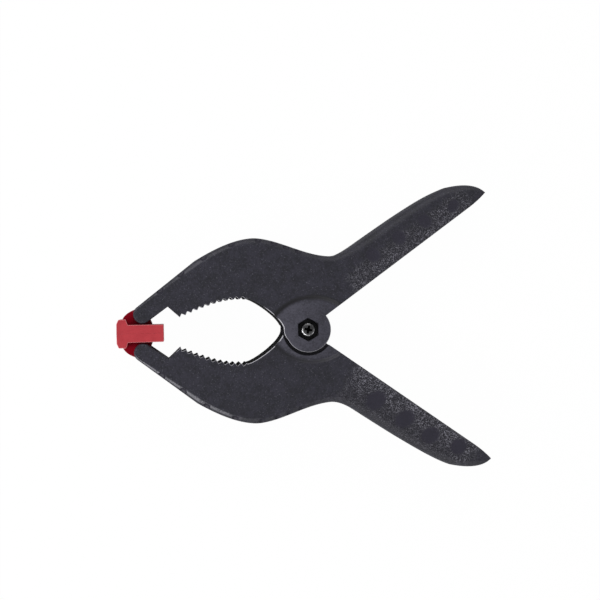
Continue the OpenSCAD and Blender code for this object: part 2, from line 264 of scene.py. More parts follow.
# %% The arm's main places
PIN_REACH = 97.6
TIP_R = 5.3
BAR = (-PIN_REACH, 11.2)
HANDLE_ANGLE = 35.6
HANDLE_L = 133.3
HANDLE_D = 23.685
HANDLE_OFFSET = 0.45
EAR_R = 13.4
POCKET_R = EAR_R + 1.95
TOOTH_START = (-76.0, 9.3)
THROAT_TOP = (-36.8, 19.2)
THROAT_END = (-14.5, 0.25)
NOTCH = (-82.7, 15.4)
BROW = (-66.4, 41.95)
CREST = (-32.0, 54.8)
WAIST = (13.0, 43.3)
JAW_EDGE = 3.8
HANDLE_EDGE = 6.0
GRIP_EDGE = 1.4
CORNER_EDGE = 0.5
FINE_EDGE = 0.32
print("pivot to bar, and the handle's length, mm:", PIN_REACH, HANDLE_L)

# %% [markdown]
# Places on the handle are easiest to give down it and out from it, so two small functions turn them into
# x and y. A third gives the points of one cubic curve, with an edge radius that changes along it.

# %% Places on the handle, and one cubic curve


def spun(x, y, degrees):
    """A point turned about the origin."""
    t = math.radians(degrees)
    return (x * math.cos(t) - y * math.sin(t), x * math.sin(t) + y * math.cos(t))


def along(h, w):
    """A point h down the handle and w out from its inner line, in millimetres."""
    return spun(h, w, HANDLE_ANGLE)


def share(h, w):
    """The same as shares of the handle's length and depth."""
    return along(h * HANDLE_L, w * HANDLE_D)


def shifted(p, dx, dy):
    return (p[0] + dx, p[1] + dy)


def curve(a, b, c, d, steps, r0, r1):
    points = []
    for i in range(steps):
        t = i / steps
        s = 1 - t
        k = (s ** 3, 3 * s * s * t, 3 * s * t * t, t ** 3)
        xy = [sum(w * p[axis] for w, p in zip(k, (a, b, c, d))) for axis in (0, 1)]
        points.append((xy[0], xy[1], s * r0 + t * r1))
    return points


print("handle's tip at", [round(x, 1) for x in share(1.005, 0.08)])

# %% [markdown]
# The teeth follow a curve from the notch behind the pads to the widest place of the throat. Their tips
# and roots alternate across that curve. A moulded tooth is never quite sharp, so each corner is cut
# into two points a third of a millimetre apart.

# %% The row of teeth
TOOTH_PITCH = 3.55
TOOTH_DEPTH = 1.8
TIP_SHARE = 0.35
CORNER = 0.24


def tooth_row():
    run = THROAT_TOP[0] - TOOTH_START[0]
    rise = THROAT_TOP[1] - TOOTH_START[1]
    b = shifted(TOOTH_START, 0.32 * run, 0.5 * rise)
    c = shifted(THROAT_TOP, -0.35 * run, 0.06 * THROAT_TOP[1])
    count = round(math.hypot(run, rise) / TOOTH_PITCH) + 1
    steps = 2 * count - 2
    line = curve(TOOTH_START, b, c, THROAT_TOP, steps, 0, 0) + [(*THROAT_TOP, 0)]
    corners = []
    for i, here in enumerate(line):
        before, after = line[max(i - 1, 0)], line[min(i + 1, steps)]
        way = (after[0] - before[0], after[1] - before[1])
        size = math.hypot(*way)
        side = (-TIP_SHARE if i % 2 == 0 else 1 - TIP_SHARE) * TOOTH_DEPTH
        corners.append((here[0] - way[1] / size * side, here[1] + way[0] / size * side))
    return corners


def blunted(corners, size):
    points = []
    for i, p in enumerate(corners):
        for q in (corners[max(i - 1, 0)], corners[min(i + 1, len(corners) - 1)]):
            gap = math.hypot(q[0] - p[0], q[1] - p[1])
            if gap:
                points.append((p[0] + (q[0] - p[0]) * size / gap, p[1] + (q[1] - p[1]) * size / gap))
    return points


teeth = blunted(tooth_row(), CORNER)
print("points on the teeth:", len(teeth))

# %% [markdown]
# The rounded end of the arm is an arc that the jaw's back and the notch's side both touch, so its first
# and last angles come from the lines that touch a circle.

# %% The whole outline


def touch_angle(point, centre, r, side):
    dx, dy = centre[0] - point[0], centre[1] - point[1]
    return math.degrees(math.atan2(dy, dx) + side * math.asin(r / math.hypot(dx, dy)))


TIP_STEPS = 20
THROAT_STEPS = 24


def arm_outline():
    back = touch_angle(BROW, BAR, TIP_R, -1) + 180
    notch_side = touch_angle(NOTCH, BAR, TIP_R, 1) + 180
    tip = arc(*BAR, TIP_R, back + 90, notch_side + 270, TIP_STEPS)
    inner_end = along(0.9 * HANDLE_L, HANDLE_OFFSET)
    corner = share(1.005, 0.08)
    slope = share(0.872, 0.79)
    shoulder = share(0.452, 1)
    throat_run = -THROAT_TOP[0] + THROAT_END[0]
    return (
        with_edge(tip, 1.2)
        + with_edge([NOTCH], 0.3)
        + with_edge(teeth, FINE_EDGE)
        + curve(THROAT_TOP, shifted(THROAT_TOP, 0.2 * throat_run, 0),
                shifted(THROAT_END, 0, 0.35 * THROAT_TOP[1]), THROAT_END, THROAT_STEPS, 0.6, 0.8)
        + with_edge([THROAT_END, (0, THROAT_END[1])], 0.2)
        + with_edge([along(POCKET_R / 2, HANDLE_OFFSET)], 0.2)
        + with_edge([along(POCKET_R + 3, HANDLE_OFFSET)], 1.0)
        + curve(inner_end, along(0.945 * HANDLE_L, HANDLE_OFFSET), share(0.98, 0.045), corner,
                8, GRIP_EDGE, CORNER_EDGE)
        + curve(corner, share(1.003, 0.2), share(0.995, 0.5), slope, 16, CORNER_EDGE, HANDLE_EDGE)
        + curve(slope, share(0.79, 0.935), share(0.6, 0.975), shoulder, 20, HANDLE_EDGE, HANDLE_EDGE)
        + curve(shoulder, share(0.378, 1.014), shifted(WAIST, 7, 0), WAIST, 20, HANDLE_EDGE, JAW_EDGE)
        + curve(WAIST, shifted(WAIST, -15, 0.8), shifted(CREST, 14, -0.1), CREST,
                24, JAW_EDGE, JAW_EDGE)
        + curve(CREST, shifted(CREST, -12, -0.5), shifted(BROW, 10, 5.9), BROW, 20, JAW_EDGE, JAW_EDGE)
        + with_edge([BROW], JAW_EDGE)
    )


outline = arm_outline()
print("points on the outline:", len(outline))

# %% [markdown]
# ## Cutting the arm
#
# The pivot is a stack of four ears that lie on each other. From the upper side down they are: the upper
# arm's outer ear, the lower arm's inner ear, the upper arm's inner ear and the lower arm's outer ear. So
# one arm has an outer ear near one side and an inner ear past the middle, and round pockets where the
# other arm's ears go. The tools flare at the surface, which leaves the small broken edge of a moulding.

# %% The pivot's layers and its tools
FIELD_Z = HALF_W - 1.4
OUTER_EAR_Z = FIELD_Z - 4.8
INNER_TOP = OUTER_EAR_Z - 0.25
INNER_Z = INNER_TOP - 3.0
HEX_FLOOR = FIELD_Z - 3.4
FIELD_R = 29.2
FIELD_CENTRE = (2.6, -10.4)
HEX_FLATS = 12.2
HEX_R = HEX_FLATS / math.sqrt(3)
BORE_R = 4.05
SPOOL_R = 6.9
RIM = 0.35
SLOPE_IN = 1.2
SLOPE_OUT = 1.6
SLOPE_STEPS = 10
PAST = 1.0


def flared(name, r, floor, face, way, rim=RIM, **shape):
    profile = [(r, floor), (r, face - way * rim), (r + rim, face), (r + rim, face + way * 2)]
    return turned_part(name, profile, **shape)


def field_tool(way):
    drop = HALF_W - FIELD_Z + 0.03
    profile = []
    for i in range(SLOPE_STEPS + 1):
        t = i / SLOPE_STEPS
        r = FIELD_R - SLOPE_IN + t * (SLOPE_IN + SLOPE_OUT)
        profile.append((r, FIELD_Z + drop * t * t * (3 - 2 * t)))
    profile.append((FIELD_R + SLOPE_OUT + 0.1, HALF_W + PAST))
    return turned_part("field_tool", [(r, way * z) for r, z in profile], centre=FIELD_CENTRE)


print("thickness of the outer and the inner ear, mm:", round(FIELD_Z - OUTER_EAR_Z, 2),
      round(INNER_TOP - INNER_Z, 2))

# %% [markdown]
# Lowering the flank round the pivot takes the rounded edge off the throat's rear wall. A second tool
# follows that wall at the new height and breaks the edge again, and fades out where the slope begins.
# The arm itself starts as one plate with the whole outline, and the other arm's ears get their pockets.

# %% The throat's edge, and the arm's blank
THROAT_BREAK = 0.55


def throat_edge_tool(way):
    reach = FIELD_R - SLOPE_IN
    first = len(teeth) + TIP_STEPS + 2
    rear = slice(first, first + THROAT_STEPS + 1)
    wall = []
    for p, way_in in zip(outline[rear], inward_normals(outline)[rear]):
        inside = reach - math.hypot(p[0] - FIELD_CENTRE[0], p[1] - FIELD_CENTRE[1])
        if inside > 0:
            grow = THROAT_BREAK * min(1, inside / 2)
            wall.append((p[0], p[1], p[0] + way_in[0] * grow, p[1] + way_in[1] * grow))
    low = [(a, b) for a, b, _, _ in wall] + [(wall[-1][0], -2), (wall[0][0], -2)]
    high = [(c, d) for _, _, c, d in wall] + [(wall[-1][2], -2), (wall[0][2], -2)]
    levels = [(low, FIELD_Z - THROAT_BREAK), (high, FIELD_Z + 0.01), (high, HALF_W + PAST)]
    return skin("edge_tool", [[(x, y, way * z) for x, y in ring] for ring, z in levels])


arm = plate("upper_arm_moulding", outline, -HALF_W, HALF_W)
cut(arm, disc("tool", POCKET_R, -INNER_Z, OUTER_EAR_Z))
cut(arm, flared("tool", POCKET_R, -INNER_TOP, -FIELD_Z, -1))
print("faces after the pockets:", len(arm.data.polygons))

# %% [markdown]
# Each handle is a channel that is open towards the other handle, which saves nylon, lets the wall cool
# evenly and leaves a smooth back to grip. Cross ribs keep it stiff, and the first ones stop short so that
# the spring's leg lies on them.

# %% The handle's channel with its ribs
FLOOR_WALL = 4.0
SIDE_WALL = 5.2
RIB_T = 2.4
RIB_PITCH = 20.0
WIRE_R = 1.2
COIL_R = 9.4
LEG_L = 62.0
LEG_SEAT = COIL_R + WIRE_R + 0.3
CHANNEL_START = POCKET_R + 4.5
CHANNEL_END = 0.92 * HANDLE_L
FLOOR_LINE = [(0.25, 0.8), (0.4, 0), (0.55, 0.6), (0.7, 1.8), (0.8, 4), (0.88, 7.6), (0.92, 12.5)]


def box_tool(name, low, high, edge=0.3, angle=HANDLE_ANGLE):
    corners = [(low[0], low[1]), (high[0], low[1]), (high[0], high[1]), (low[0], high[1])]
    piece = plate(name, with_edge(corners, edge), low[2], high[2], steps=2)
    piece.data.transform(Matrix.Rotation(math.radians(angle), 4, "Z"))
    return piece


def channel_tool():
    floor_h = HANDLE_D - FLOOR_WALL
    points = [(CHANNEL_END, -HANDLE_D), (CHANNEL_START, -HANDLE_D), (CHANNEL_START, floor_h - 5)]
    points += [(h * HANDLE_L, floor_h - drop) for h, drop in FLOOR_LINE]
    half = HALF_W - SIDE_WALL
    tool = plate("channel_tool", with_edge(points, 0.8), -half, half, steps=3)
    h = CHANNEL_START + 0.7 * RIB_PITCH
    while h < CHANNEL_END - 5:
        seat = LEG_SEAT if h < LEG_L + 4 else HANDLE_OFFSET + 4
        low = (h - RIB_T / 2, seat, -HALF_W)
        high = (h + RIB_T / 2, seat + HANDLE_D, HALF_W)
        cut(tool, box_tool("rib", low, high, angle=0))
        h += RIB_PITCH
    tool.data.transform(Matrix.Rotation(math.radians(HANDLE_ANGLE), 4, "Z"))
    return tool


cut(arm, channel_tool())
way_half = INNER_Z - 0.15
way_low = (POCKET_R / 2, -HANDLE_D, -way_half)
cut(arm, box_tool("tool", way_low, (CHANNEL_START + PAST, LEG_SEAT + 0.3, way_half)))
print("faces after the channel:", len(arm.data.polygons))

# %% [markdown]
# The fork at the jaw's end is a round slot. The bar in it is moulded with the arm, and the pad's tongue
# clips over it. The ears and the spring's boss are added after the pockets are cut, because they stand
# inside them.

# %% Fork, bar, ears and spring boss
PAD_T = 5.1
PAD_FRONT = 15.2
PAD_REAR = 12.3
SLOT_R = math.hypot(PAD_REAR / 2, BAR[1] - PAD_T) + 0.3
SLOT_HALF = 8.35
BAR_R = 2.6
LOBE_R = 8.0

cut(arm, disc("tool", SLOT_R, -SLOT_HALF, SLOT_HALF, 0.3, BAR))
weld(arm, disc("bar", BAR_R, -SLOT_HALF - PAST, SLOT_HALF + PAST, centre=BAR))
for low, high, edge in ((OUTER_EAR_Z, FIELD_Z, 0.5), (-INNER_TOP, -INNER_Z, 0.3)):
    weld(arm, disc("ear", EAR_R, low, high, edge))
    weld(arm, disc("lobe", LOBE_R, low, high, edge, (THROAT_END[0] + LOBE_R, 0)))
weld(arm, disc("spool", SPOOL_R, -INNER_Z - 0.5, -0.125, 0.3))
cut(arm, field_tool(1), field_tool(-1))
cut(arm, throat_edge_tool(1), throat_edge_tool(-1))
cut(arm, disc("tool", BORE_R, -HALF_W, HALF_W))
cut(arm, flared("tool", HEX_R, HEX_FLOOR, FIELD_Z, 1, sides=6, phase=90))
print("faces after the pivot:", len(arm.data.polygons))

# %% [markdown]
# ## Grip pattern and scoops
#
# The handle's flanks carry a rough raised net with smooth oval cells in it. The cells are shallow dishes
# with a crisp rim, so they are cut for real: a shader bump would not show in the mesh. Each tool is a
# stack of ellipses that gets smaller with depth. The arms lie opposite ways up, so one side of the
# moulding shows on the upper handle and the other on the lower one, and their cells differ.

# %% Oval cells in the handle's flanks
CELL_DEPTH = 0.4
CELL_SLANT = 115
CELL_WALL = [
    (1, 0.5), (1, 0.0), (0.93, -0.24), (0.82, -0.54), (0.66, -0.82), (0.45, -0.96), (0.05, -1.0),
]
LOW_CELLS = [
    (56.8, 12.0, 7.8, 6.2), (77.4, 11.4, 7.3, 5.9), (95.8, 10.9, 6.7, 5.7), (113.6, 6.9, 6.2, 5.6),
]
HIGH_CELLS = [
    (57.2, 12.2, 5.2, 4.9), (75.8, 11.2, 5.2, 4.8), (94.4, 9.9, 5.1, 4.6), (113.6, 7.0, 3.7, 4.9),
]


def cell_tool(h, w, long_half, short_half, face, way):
    x, y = along(h, w)
    turn = math.radians(HANDLE_ANGLE + CELL_SLANT)
    rings = []
    for size, depth in CELL_WALL:
        ring = []
        for px, py in arc(0, 0, 1, 0, 360, 40)[:-1]:
            a, b = px * long_half * size, py * short_half * size
            ring.append((x + a * math.cos(turn) - b * math.sin(turn),
                         y + a * math.sin(turn) + b * math.cos(turn), face + way * depth * CELL_DEPTH))
        rings.append(ring)
    return skin("cell_tool", rings)


for cell in HIGH_CELLS:
    cut(arm, cell_tool(*cell, HALF_W, 1))
for cell in LOW_CELLS:
    cut(arm, cell_tool(*cell, -HALF_W, -1))
print("faces after the cells:", len(arm.data.polygons))

# %% [markdown]
# Small scoops interrupt the rounded back of the jaw. Each is part of a ball that bites into the edge, on
# both sides of the arm.

# %% Scoops along the jaw's back
SCOOP_R = 2.6
SCOOP_BITE = 1.3
SCOOPS = [
    (-86, 23.7), (-73.7, 33.2), (-60.4, 42.4), (-44.3, 50.3),
    (-28.8, 52.1), (-19.9, 49.7), (-13.05, 46.4), (-6.1, 43.3),
]
BACK_POINTS = 65


def ball(name, r, centre, steps=12):
    profile = [(0.02 * r, centre[2] - r)]
    profile += [(r * math.cos(t), centre[2] + r * math.sin(t))
                for t in (math.radians(-80 + 160 * i / steps) for i in range(steps + 1))]
    profile += [(0.02 * r, centre[2] + r)]
    return turned_part(name, profile, sides=28, centre=centre[:2])


def on_the_back(x, y):
    """The outline's nearest place between the handle's shoulder and the tip, and its way inwards."""
    best = None
    back = outline[-BACK_POINTS:] + outline[:1]
    for a, b in zip(back, back[1:]):
        dx, dy = b[0] - a[0], b[1] - a[1]
        t = min(max(((x - a[0]) * dx + (y - a[1]) * dy) / (dx * dx + dy * dy), 0), 1)
        spot = (a[0] + t * dx, a[1] + t * dy)
        gap = math.hypot(spot[0] - x, spot[1] - y)
        if best is None or gap < best[0]:
            best = (gap, spot, (-dy / math.hypot(dx, dy), dx / math.hypot(dx, dy)))
    return best[1:]


scoop_centres = []
for x, y in SCOOPS:
    spot, inward = on_the_back(x, y)
    reach = JAW_EDGE - JAW_EDGE * math.sqrt(0.5) - (SCOOP_R - SCOOP_BITE) * math.sqrt(0.5)
    place = (spot[0] + inward[0] * reach, spot[1] + inward[1] * reach)
    for way in (1, -1):
        scoop_centres.append(Vector((*place, way * (HALF_W - reach))))
        cut(arm, ball("scoop_tool", SCOOP_R, scoop_centres[-1]))
print("folded faces welded away, and open edges left:", weld_corners(arm))
print("faces after the scoops:", len(arm.data.polygons))

# %% [markdown]
# ## Shading, and the second arm
#
# A mesh with a few large flat faces and narrow rounded strips shades badly if every normal is averaged,
# and a cut flat face is many slivers. Blender's Weighted Normal modifier weighs each sliver by itself.
# Here neighbours in one plane count as one face, so each corner's normal leans towards the largest flat
# area near it, and faces that meet at a steep angle don't mix at all.

# %% Normals that keep flat faces flat
ONE_PLANE = math.cos(math.radians(0.3))


def flat_areas(mesh, normals):
    group = list(range(len(normals)))

    def root(i):
        while group[i] != i:
            group[i] = group[group[i]]
            i = group[i]
        return i

    first = {}
    for face in mesh.polygons:
        for key in face.edge_keys:
            other = first.setdefault(key, face.index)
            if normals[other].dot(normals[face.index]) > ONE_PLANE:
                group[root(other)] = root(face.index)
    area = [0.0] * len(normals)
    for face in mesh.polygons:
        area[root(face.index)] += face.area
    return [area[root(i)] for i in range(len(normals))]


def shade(piece, together=38):
    mesh = piece.data
    mesh.polygons.foreach_set("use_smooth", [True] * len(mesh.polygons))
    normals = [face.normal.copy() for face in mesh.polygons]
    areas = flat_areas(mesh, normals)
    around = [[] for _ in mesh.vertices]
    for face in mesh.polygons:
        ring = list(face.vertices)
        for k, here in enumerate(ring):
            at = mesh.vertices[here].co
            a = mesh.vertices[ring[k - 1]].co - at
            b = mesh.vertices[ring[(k + 1) % len(ring)]].co - at
            around[here].append((face.index, areas[face.index] * a.angle(b, 0)))
    limit = math.cos(math.radians(together))
    corners = []
    for face in mesh.polygons:
        for here in face.vertices:
            near = [normals[i] * w for i, w in around[here] if normals[i].dot(face.normal) > limit]
            corners.append(sum(near, Vector()).normalized() if near else face.normal)
    mesh.normals_split_custom_set(corners)
    return piece


upper_arm = shade(arm)
print("corners with a normal of their own:", len(upper_arm.data.loops))

# %% [markdown]
# The cells' floors are smooth, while the flanks round them carry the net, and the scoops get less of the
# painted highlight than the jaw's back round them, so they show as shaded notches. So the faces inside
# both get a second material slot, which is the plain way to give one mesh two finishes.

# %% Faces inside cells and scoops
SCOOP_NEAR = 0.09


def inside_scoop(centre):
    return any(abs((centre - middle).length - SCOOP_R) < SCOOP_NEAR for middle in scoop_centres)


def inside_cell(centre, cells):
    for h, w, long_half, short_half in cells:
        x, y = along(h, w)
        turn = math.radians(HANDLE_ANGLE + CELL_SLANT)
        dx, dy = centre[0] - x, centre[1] - y
        a = (dx * math.cos(turn) + dy * math.sin(turn)) / long_half
        b = (-dx * math.sin(turn) + dy * math.cos(turn)) / short_half
        if a * a + b * b < 1.01:
            return True
    return False


def below_flank(face, way):
    height = face.center.z * way
    return HALF_W - CELL_DEPTH - 0.01 < height < HALF_W - 0.005 and abs(face.normal.z) > 0.3


upper_arm.data.materials.append(None)
upper_arm.data.materials.append(None)
for face in upper_arm.data.polygons:
    in_cell = any(below_flank(face, way) and inside_cell(face.center, cells)
                  for way, cells in ((1, HIGH_CELLS), (-1, LOW_CELLS)))
    if in_cell or inside_scoop(face.center):
        face.material_index = 1
print("faces in cells and scoops:", sum(face.material_index for face in upper_arm.data.polygons))

# %% [markdown]
# The second arm is a copy, turned half a turn about x. Each finished piece then goes into the scene,
# rides on the body that it moves with, and takes the place of the working model's own piece.

# %% Two arms from one mould


def twin(piece):
    made = piece.copy()
    made.data = piece.data.copy()
    bpy.context.scene.collection.objects.link(made)
    return made


def place_piece(piece, name, slot, bodies, turned=False):
    kind = "turned" if "steel" in slot else "moulding"
    piece.name = f"{name}_{kind}"
    if turned:
        piece.data.transform(TURNED)
    piece.data.transform(INTO_SCENE)
    piece.data.name = piece.name
    if len(bodies) == 1:
        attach(piece, bodies[0])
    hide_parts(name)
    return piece


lower_arm = twin(upper_arm)
place_piece(upper_arm, "upper_arm", "arm_nylon", ["upper_arm"])
place_piece(lower_arm, "lower_arm", "arm_nylon", ["lower_arm"], turned=True)
print("arms:", upper_arm.name, "and", lower_arm.name)

# %% [markdown]
# ## Pads
#
# A pad is a red plate with a hooked toe at the front. The tongue behind it has an open socket, and is
# pressed on to the bar in the fork. Plate and tongue are plates of the same kind as the arm, so the same
# function makes them; only their profile corners are rounded first.

# %% Rounded corners for a profile


def rounded(corners, steps=5):
    points = []
    for i, (x, y, r, edge) in enumerate(corners):
        here = Vector((x, y))
        a = (Vector(corners[i - 1][:2]) - here).normalized()
        b = (Vector(corners[(i + 1) % len(corners)][:2]) - here).normalized()
        half = a.angle(b) / 2
        centre = here + (a + b).normalized() * (r / math.sin(half))
        start, end = here + a * (r / math.tan(half)), here + b * (r / math.tan(half))
        for k in range(steps + 1):
            p = centre + (start.lerp(end, k / steps) - centre).normalized() * r
            points.append((p.x, p.y, edge))
    return points


print("points of a square with rounded corners:",
      len(rounded([(0, 0, 0.1, 0), (1, 0, 0.1, 0), (1, 1, 0.1, 0), (0, 1, 0.1, 0)])))

# %% [markdown]
# The socket is an open clip. Its mouth is narrower than the bar, so the pad snaps over the bar and then
# swivels on it. The tongue's back runs in one curve down to the toe.

# %% One pad
PAD_X0 = BAR[0] - PAD_FRONT
PAD_X1 = BAR[0] + PAD_REAR
TOE_L = 6.6
TOE_H = 8.4
TONGUE_HALF = 8.0
SOCKET_R = BAR_R + 0.06
TONGUE_R = SOCKET_R + 2.1
MOUTH_ANGLE = 36
MOUTH_HALF = 0.85 * SOCKET_R
PAD_EDGE = 0.4
TOUCH_EDGE = 0.1


def pad_plate():
    corners = [
        (PAD_X0, 0, TOUCH_EDGE, TOUCH_EDGE), (PAD_X1, 0, TOUCH_EDGE, TOUCH_EDGE),
        (PAD_X1, PAD_T, 0.5, PAD_EDGE), (PAD_X0 + TOE_L, PAD_T, 0.4, 0.3),
        (PAD_X0 + TOE_L - 1.1, TOE_H, 0.5, PAD_EDGE), (PAD_X0 + 1.2, TOE_H, 0.9, PAD_EDGE),
        (PAD_X0, TOE_H - 2.6, 2.0, PAD_EDGE),
    ]
    return plate("pad", rounded(corners), -HALF_W, HALF_W, steps=4)


def pad_tongue():
    x0 = PAD_X0 + TOE_L / 2
    socket = arc(*BAR, TONGUE_R, -27, 130, 28)
    toe_top = (x0, TOE_H)
    hump = curve(socket[-1], (x0 + 6.5, TOE_H + 5.1), (x0 + 2.2, TOE_H + 4.4), toe_top,
                 10, PAD_EDGE, PAD_EDGE)
    foot = [(x0, PAD_T - 1), (BAR[0] + PAD_REAR / 2, PAD_T - 1)]
    side_view = with_edge(foot + socket, PAD_EDGE) + hump[1:] + with_edge([toe_top], PAD_EDGE)
    return plate("tongue", side_view, -TONGUE_HALF, TONGUE_HALF, steps=4)


pad = weld(pad_plate(), pad_tongue())
cut(pad, disc("tool", SOCKET_R, -TONGUE_HALF - PAST, TONGUE_HALF + PAST, centre=BAR))
mouth_low = (0, -MOUTH_HALF, -TONGUE_HALF - PAST)
mouth_high = (2 * TONGUE_R, MOUTH_HALF, TONGUE_HALF + PAST)
mouth = box_tool("mouth", mouth_low, mouth_high, angle=MOUTH_ANGLE)
mouth.data.transform(Matrix.Translation((*BAR, 0)))
cut(pad, mouth)
print("faces of a pad:", len(pad.data.polygons))

upper_pad = shade(pad)
lower_pad = twin(upper_pad)
place_piece(upper_pad, "upper_pad", "pad_plastic", ["upper_pad"])
place_piece(lower_pad, "lower_pad", "pad_plastic", ["lower_pad"], turned=True)

# %% [markdown]
# ## Screw, washer and barrel
#
# The screw's thread is a real helix: at each height the radius follows a triangle wave that turns with
# the angle. The thread starts in from the tip and runs out under the head, as a rolled thread does.

# %% The screw's threaded shank
SEAT_Z = HEX_FLOOR + 0.05
WASHER_T = 0.8
HEAD_R = 4.1
HEAD_Z = SEAT_Z + WASHER_T
HEAD_T = 2.2
SHANK_R = 2.0
SCREW_L = 25.0
THREAD_PITCH = 0.7
THREAD_DEPTH = 0.34
THREAD_SIDES = 32
LEVELS_PER_PITCH = 6


def screw_shank():
    levels = int(SCREW_L / THREAD_PITCH * LEVELS_PER_PITCH)
    rings = []
    for k in range(levels + 1):
        z = HEAD_Z + 0.3 - (SCREW_L + 0.3) * (1 - k / levels)
        start_in = min(1, (z - (HEAD_Z - SCREW_L)) / 1.0)
        run_out = min(1, max(0, (HEAD_Z - 0.6 - z) / 0.5))
        ring = []
        for i in range(THREAD_SIDES):
            turn = i / THREAD_SIDES
            wave = abs(((z / THREAD_PITCH + turn) % 1) * 2 - 1)
            r = SHANK_R - THREAD_DEPTH * wave * run_out - 0.5 * (1 - start_in)
            ring.append((r * math.cos(2 * math.pi * turn), r * math.sin(2 * math.pi * turn), z))
        rings.append(ring)
    return skin("shank", rings)


print("turns of thread:", round(SCREW_L / THREAD_PITCH, 1))

# %% [markdown]
# The pan head is a dome on a short straight side. The cross is pressed in by a punch that narrows with
# depth, so its tool is a stack of crosses with rounded corners.

# %% Pan head with a cross
SCREW_TURN = -14
HEAD_SIDE_H = 0.75
DOME_H = 1.35
DOME_SHARES = (0.2, 0.35, 0.5, 0.62, 0.72, 0.8, 0.86, 0.91, 0.95, 0.98, 0.995)


def screw_head():
    dome = [(0.06, HEAD_Z + HEAD_T)]
    for s in DOME_SHARES:
        dome.append((HEAD_R * s, HEAD_Z + HEAD_T - DOME_H * (1 - (1 - s ** 2.6) ** 0.55)))
    side = [(HEAD_R, HEAD_Z + HEAD_SIDE_H), (HEAD_R, HEAD_Z + 0.25),
            (HEAD_R - 0.07, HEAD_Z + 0.07), (HEAD_R - 0.25, HEAD_Z)]
    return turned_part("head", (dome + side)[::-1], sides=96)


def cross_ring(reach, half, z):
    corners = []
    for k in range(4):
        for x, y in ((reach, -half), (reach, half), (half, half)):
            corners.append((*spun(x, y, 90 * k + SCREW_TURN), half * 0.4, 0))
    return [(x, y, z) for x, y, _ in rounded(corners, steps=4)]


def cross_tool():
    top = HEAD_Z + HEAD_T
    return skin("cross", [cross_ring(HEAD_R * 0.6, HEAD_R * 0.19, top + 0.3),
                          cross_ring(HEAD_R * 0.58, HEAD_R * 0.17, top - 0.15),
                          cross_ring(HEAD_R * 0.46, HEAD_R * 0.1, top - 1.1),
                          cross_ring(HEAD_R * 0.24, HEAD_R * 0.02, top - 2.0)])


screw = weld(screw_head(), screw_shank())
cut(screw, cross_tool())
place_piece(shade(screw), "pivot_screw", "screw_steel", ["lower_arm"])
print("faces of the screw:", len(screw.data.polygons))

# %% [markdown]
# The washer and the barrel are turned parts. Their corners are all broken a little, as a lathe or a press
# leaves them. The barrel ends in a hexagonal head whose corners are turned down on one side.

# %% Washer and barrel nut
WASHER_R = HEX_FLATS / 2 - 0.15
WASHER_HOLE = 2.15
NUT_FLATS = HEX_FLATS - 0.3
NUT_HEAD_T = 3.0
NUT_BORE = 2.03
BARREL_R = 4.0


def ring_profile(r_in, r_out, low, high, edge_in, edge_out):
    return [(r_in, low + edge_in), (r_in + edge_in, low),
            (r_out - edge_out, low), (r_out, low + edge_out),
            (r_out, high - edge_out), (r_out - edge_out, high),
            (r_in + edge_in, high), (r_in, high - edge_in)]


washer_ring = ring_profile(WASHER_HOLE, WASHER_R, SEAT_Z, SEAT_Z + WASHER_T, 0.08, 0.16)
washer = turned_part("washer", washer_ring, loop=True)
place_piece(shade(washer), "pivot_washer", "washer_steel", ["lower_arm"])


def hex_head():
    low, high = -HEX_FLOOR - NUT_HEAD_T, -HEX_FLOOR
    corner_r = NUT_FLATS / math.sqrt(3)
    blank = turned_part("hex", [(corner_r, low), (corner_r, high)], sides=6, phase=90)
    full, face = corner_r + 0.3, NUT_FLATS / 2 - 0.1
    cone = turned_part("cone", [(face, low), (full, low + 0.9), (full, high + 0.2), (0.5, high + 0.2)])
    return merge(blank, cone, "INTERSECT")


barrel = disc("barrel", BARREL_R, -HEX_FLOOR - PAST, SEAT_Z, 0.3)
nut = weld(hex_head(), barrel)
nut_low = -HEX_FLOOR - NUT_HEAD_T
bore = [
    (NUT_BORE + 0.5, -HALF_W), (NUT_BORE + 0.5, nut_low), (NUT_BORE, nut_low + 0.5),
    (NUT_BORE, SEAT_Z - 0.4), (NUT_BORE + 0.4, SEAT_Z), (NUT_BORE + 0.4, HALF_W),
]
cut(nut, turned_part("bore", bore, sides=64))
place_piece(shade(nut), "sleeve_nut", "sleeve_steel", ["lower_arm"])
print("faces of the barrel nut:", len(nut.data.polygons))

# %% [markdown]
# ## Spring
#
# The spring is one wire: a straight leg in the lower handle, three turns and a third round the boss, and
# a straight leg in the upper handle. A round section is swept along that line. As the clamp opens, the
# lower leg stays with the lower arm and the upper leg turns with the upper arm; here the spring rides on
# neither arm, and its mesh is fixed in the scene.

# %% Wire line and sweep
COIL_TURNS = 3.3
COIL_RISE = 9.9
WIRE_SIDES = 18
STEPS_PER_TURN = 60
LEG_STEPS = 24
WIRE_EDGE = 0.15


def leg_point(s, side):
    x, y = along(s, COIL_R)
    return Vector((x, side * y, side * COIL_RISE / 2))


def wire_line():
    straight = LEG_L - WIRE_EDGE
    leg = [straight - straight * i / LEG_STEPS for i in range(LEG_STEPS)]
    points = [leg_point(LEG_L, 1)] + [leg_point(s, 1) for s in leg]
    steps = round(COIL_TURNS * STEPS_PER_TURN)
    for i in range(steps + 1):
        t = i / steps
        a = math.radians(90 + HANDLE_ANGLE + t * COIL_TURNS * 360)
        points.append(Vector((COIL_R * math.cos(a), COIL_R * math.sin(a), COIL_RISE * (0.5 - t))))
    return points + [leg_point(s, -1) for s in leg[::-1]] + [leg_point(LEG_L, -1)]


